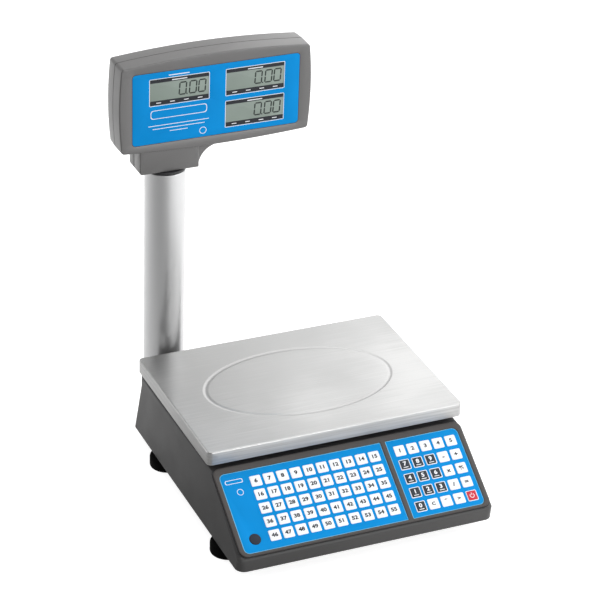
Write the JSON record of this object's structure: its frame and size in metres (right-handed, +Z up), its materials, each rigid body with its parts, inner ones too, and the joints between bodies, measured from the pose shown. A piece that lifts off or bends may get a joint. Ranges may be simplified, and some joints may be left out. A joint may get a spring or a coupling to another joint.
{
  "type": "label printing scale",
  "caption": "Counter scale with a lift-off steel tray over a load cell, a sloping membrane keyboard, a side label printer behind a hinged door and a swivelling display head on a pole.",
  "frame": {"origin": "on the table under the middle of the whole scale, at the feet's underside", "axes": "+X to the operator's right, +Y towards the pole at the back, +Z up"},
  "size_m": [0.3981, 0.465, 0.5776],
  "materials": {
    "housing_grey": "fine-textured moulded plastic, satin",
    "head_grey": "fine-textured moulded plastic, satin",
    "head_rear_grey": "fine-textured moulded plastic, satin",
    "pan_black": "black powder coat",
    "bezel_taupe": "smooth moulded plastic, satin",
    "overlay_blue": "printed polyester film, fine texture",
    "board_green": "solder-masked circuit board",
    "plug_grey": "matt moulded plug",
    "key_white": "embossed white key",
    "key_dark": "embossed dark key",
    "key_red": "embossed red key",
    "tray_steel": "brushed stainless steel",
    "cast_aluminium": "as cast",
    "pad_rubber": "soft rubber",
    "cell_aluminium": "machined",
    "fastener_steel": "zinc-plated steel",
    "foot_rubber": "black rubber",
    "supply_metal": "folded sheet case",
    "inlet_black": "moulded inlet",
    "port_metal": "plated connector plate",
    "socket_black": "black powder coat",
    "pole_silver": "satin silver paint",
    "collar_black": "smooth moulded plastic",
    "bush_nylon": "natural nylon",
    "lcd_glass": "reflective liquid-crystal glass",
    "frame_zinc": "zinc-plated sheet",
    "core_card": "kraft cardboard",
    "label_paper": "coated paper",
    "roller_rubber": "ground rubber",
    "gear_nylon": "moulded nylon",
    "gear_brass": "machined",
    "motor_steel": "plated can",
    "heatsink": "extruded",
    "latch_black": "moulded button"
  },
  "bodies": {
    "base": {"base_pan": "pan_black", "top_housing": "housing_grey", "key_bezel": "bezel_taupe", "key_overlay_left": "overlay_blue", "key_overlay_right": "overlay_blue", "key_board": "board_green", "seal_plug": "plug_grey", "platter_spider": "cast_aluminium", "spider_pads": "pad_rubber", "load_cell": "cell_aluminium", "load_cell_bolts": "fastener_steel", "main_board": "board_green", "power_supply": "supply_metal", "mains_inlet": "inlet_black", "rear_ports": "port_metal", "base_screws": "fastener_steel", "pole_socket": "socket_black", "pole": "pole_silver", "swivel_collar": "collar_black", "printer_frame": "frame_zinc", "roll_spindle": "bush_nylon", "feed_motor": "motor_steel", "print_head_spring": "frame_zinc", "door_pin": "fastener_steel"},
    "platter": {"platter": "tray_steel"},
    "head": {"head_front_shell": "head_grey", "head_rear_shell": "head_rear_grey", "head_panel_front": "overlay_blue", "head_panel_rear": "overlay_blue", "lcd_modules": "lcd_glass", "head_board": "board_green", "neck_bush": "bush_nylon"},
    "label_roll": {"label_roll": "label_paper", "roll_core": "core_card"},
    "platen": {"platen_roller": "roller_rubber", "platen_gear": "gear_nylon"},
    "motor_rotor": {"motor_gear": "gear_brass", "motor_shaft": "fastener_steel"},
    "print_head": {"print_head": "heatsink"},
    "printer_door": {"printer_door": "housing_grey"},
    "door_latch": {"door_latch": "latch_black"},
    "foot_front_left": {"foot_front_left": "foot_rubber"},
    "foot_front_right": {"foot_front_right": "foot_rubber"},
    "foot_rear_left": {"foot_rear_left": "foot_rubber"},
    "foot_rear_right": {"foot_rear_right": "foot_rubber"},
    "preset_keys_row_1": {"preset_keys_row_1": "key_white"},
    "preset_keys_row_2": {"preset_keys_row_2": "key_white"},
    "preset_keys_row_3": {"preset_keys_row_3": "key_white"},
    "preset_keys_row_4": {"preset_keys_row_4": "key_white"},
    "preset_keys_row_5": {"preset_keys_row_5": "key_white"},
    "quick_keys": {"quick_keys": "key_white"},
    "digit_keys_789": {"digit_keys_789": "key_dark"},
    "digit_keys_456": {"digit_keys_456": "key_dark"},
    "digit_keys_123": {"digit_keys_123": "key_dark"},
    "digit_key_0": {"digit_key_0": "key_dark"},
    "function_keys": {"function_keys": "key_white"},
    "clear_key": {"clear_key": "key_white"},
    "enter_key": {"enter_key": "key_white"},
    "print_key": {"print_key": "key_white"},
    "power_key": {"power_key": "key_red"}
  },
  "joints": [
    {"name": "platter_lift", "type": "slide", "parent": "base", "child": "platter", "axis": [0, 0, 1], "range_m": [0, 0.08]},
    {"name": "head_swivel", "type": "hinge", "parent": "base", "child": "head", "pos_m": [-0.1244, 0.201, 0.42], "axis": [0, 0, 1], "range_deg": [-90, 90]},
    {"name": "label_roll_spin", "type": "hinge", "parent": "base", "child": "label_roll", "pos_m": [0.138, 0.064, 0.062], "axis": [0, 1, 0], "continuous": true},
    {"name": "platen_spin", "type": "hinge", "parent": "base", "child": "platen", "pos_m": [0.176, 0.064, 0.082], "axis": [0, 1, 0], "continuous": true},
    {"name": "motor_spin", "type": "hinge", "parent": "base", "child": "motor_rotor", "pos_m": [0.16305, 0.101, 0.082], "axis": [0, 1, 0], "continuous": true},
    {"name": "print_head_lift", "type": "hinge", "parent": "base", "child": "print_head", "pos_m": [0.155, 0.064, 0.098], "axis": [0, -1, 0], "range_deg": [0, 12], "stiffness_Nm_per_rad": 1, "springref_deg": -5.73, "deforming": ["print_head_spring"]},
    {"name": "printer_door_hinge", "type": "hinge", "parent": "base", "child": "printer_door", "pos_m": [0.1898, 0.064, 0.033], "axis": [0, 1, 0], "range_deg": [0, 95]},
    {"name": "door_latch_press", "type": "slide", "parent": "printer_door", "child": "door_latch", "axis": [-1, 0, 0], "range_m": [0, 0.002], "stiffness_N_per_m": 400, "springref_m": -0.002},
    {"name": "foot_front_left_turn", "type": "hinge", "parent": "base", "child": "foot_front_left", "pos_m": [-0.163, -0.149, 0.02], "axis": [0, 0, 1], "range_deg": [-720, 720]},
    {"name": "foot_front_right_turn", "type": "hinge", "parent": "base", "child": "foot_front_right", "pos_m": [0.173, -0.149, 0.02], "axis": [0, 0, 1], "range_deg": [-720, 720]},
    {"name": "foot_rear_left_turn", "type": "hinge", "parent": "base", "child": "foot_rear_left", "pos_m": [-0.163, 0.082, 0.02], "axis": [0, 0, 1], "range_deg": [-720, 720]},
    {"name": "foot_rear_right_turn", "type": "hinge", "parent": "base", "child": "foot_rear_right", "pos_m": [0.173, 0.082, 0.02], "axis": [0, 0, 1], "range_deg": [-720, 720]},
    {"name": "preset_keys_row_1_press", "type": "slide", "parent": "base", "child": "preset_keys_row_1", "axis": [0, 0.5358, -0.8443], "range_m": [0, 0.0004], "stiffness_N_per_m": 1500, "springref_m": -0.0004},
    {"name": "preset_keys_row_2_press", "type": "slide", "parent": "base", "child": "preset_keys_row_2", "axis": [0, 0.5358, -0.8443], "range_m": [0, 0.0004], "stiffness_N_per_m": 1500, "springref_m": -0.0004},
    {"name": "preset_keys_row_3_press", "type": "slide", "parent": "base", "child": "preset_keys_row_3", "axis": [0, 0.5358, -0.8443], "range_m": [0, 0.0004], "stiffness_N_per_m": 1500, "springref_m": -0.0004},
    {"name": "preset_keys_row_4_press", "type": "slide", "parent": "base", "child": "preset_keys_row_4", "axis": [0, 0.5358, -0.8443], "range_m": [0, 0.0004], "stiffness_N_per_m": 1500, "springref_m": -0.0004},
    {"name": "preset_keys_row_5_press", "type": "slide", "parent": "base", "child": "preset_keys_row_5", "axis": [0, 0.5358, -0.8443], "range_m": [0, 0.0004], "stiffness_N_per_m": 1500, "springref_m": -0.0004},
    {"name": "quick_keys_press", "type": "slide", "parent": "base", "child": "quick_keys", "axis": [0, 0.5358, -0.8443], "range_m": [0, 0.0004], "stiffness_N_per_m": 1500, "springref_m": -0.0004},
    {"name": "digit_keys_789_press", "type": "slide", "parent": "base", "child": "digit_keys_789", "axis": [0, 0.5358, -0.8443], "range_m": [0, 0.0004], "stiffness_N_per_m": 1500, "springref_m": -0.0004},
    {"name": "digit_keys_456_press", "type": "slide", "parent": "base", "child": "digit_keys_456", "axis": [0, 0.5358, -0.8443], "range_m": [0, 0.0004], "stiffness_N_per_m": 1500, "springref_m": -0.0004},
    {"name": "digit_keys_123_press", "type": "slide", "parent": "base", "child": "digit_keys_123", "axis": [0, 0.5358, -0.8443], "range_m": [0, 0.0004], "stiffness_N_per_m": 1500, "springref_m": -0.0004},
    {"name": "digit_key_0_press", "type": "slide", "parent": "base", "child": "digit_key_0", "axis": [0, 0.5358, -0.8443], "range_m": [0, 0.0004], "stiffness_N_per_m": 1500, "springref_m": -0.0004},
    {"name": "function_keys_press", "type": "slide", "parent": "base", "child": "function_keys", "axis": [0, 0.5358, -0.8443], "range_m": [0, 0.0004], "stiffness_N_per_m": 1500, "springref_m": -0.0004},
    {"name": "clear_key_press", "type": "slide", "parent": "base", "child": "clear_key", "axis": [0, 0.5358, -0.8443], "range_m": [0, 0.0004], "stiffness_N_per_m": 1500, "springref_m": -0.0004},
    {"name": "enter_key_press", "type": "slide", "parent": "base", "child": "enter_key", "axis": [0, 0.5358, -0.8443], "range_m": [0, 0.0004], "stiffness_N_per_m": 1500, "springref_m": -0.0004},
    {"name": "print_key_press", "type": "slide", "parent": "base", "child": "print_key", "axis": [0, 0.5358, -0.8443], "range_m": [0, 0.0004], "stiffness_N_per_m": 1500, "springref_m": -0.0004},
    {"name": "power_key_press", "type": "slide", "parent": "base", "child": "power_key", "axis": [0, 0.5358, -0.8443], "range_m": [0, 0.0004], "stiffness_N_per_m": 1500, "springref_m": -0.0004}
  ],
  "couplings": [
    {"joint": "platen_spin", "follows": "label_roll_spin", "ratio": 5.3333},
    {"joint": "motor_spin", "follows": "label_roll_spin", "ratio": -8.8889}
  ]
}
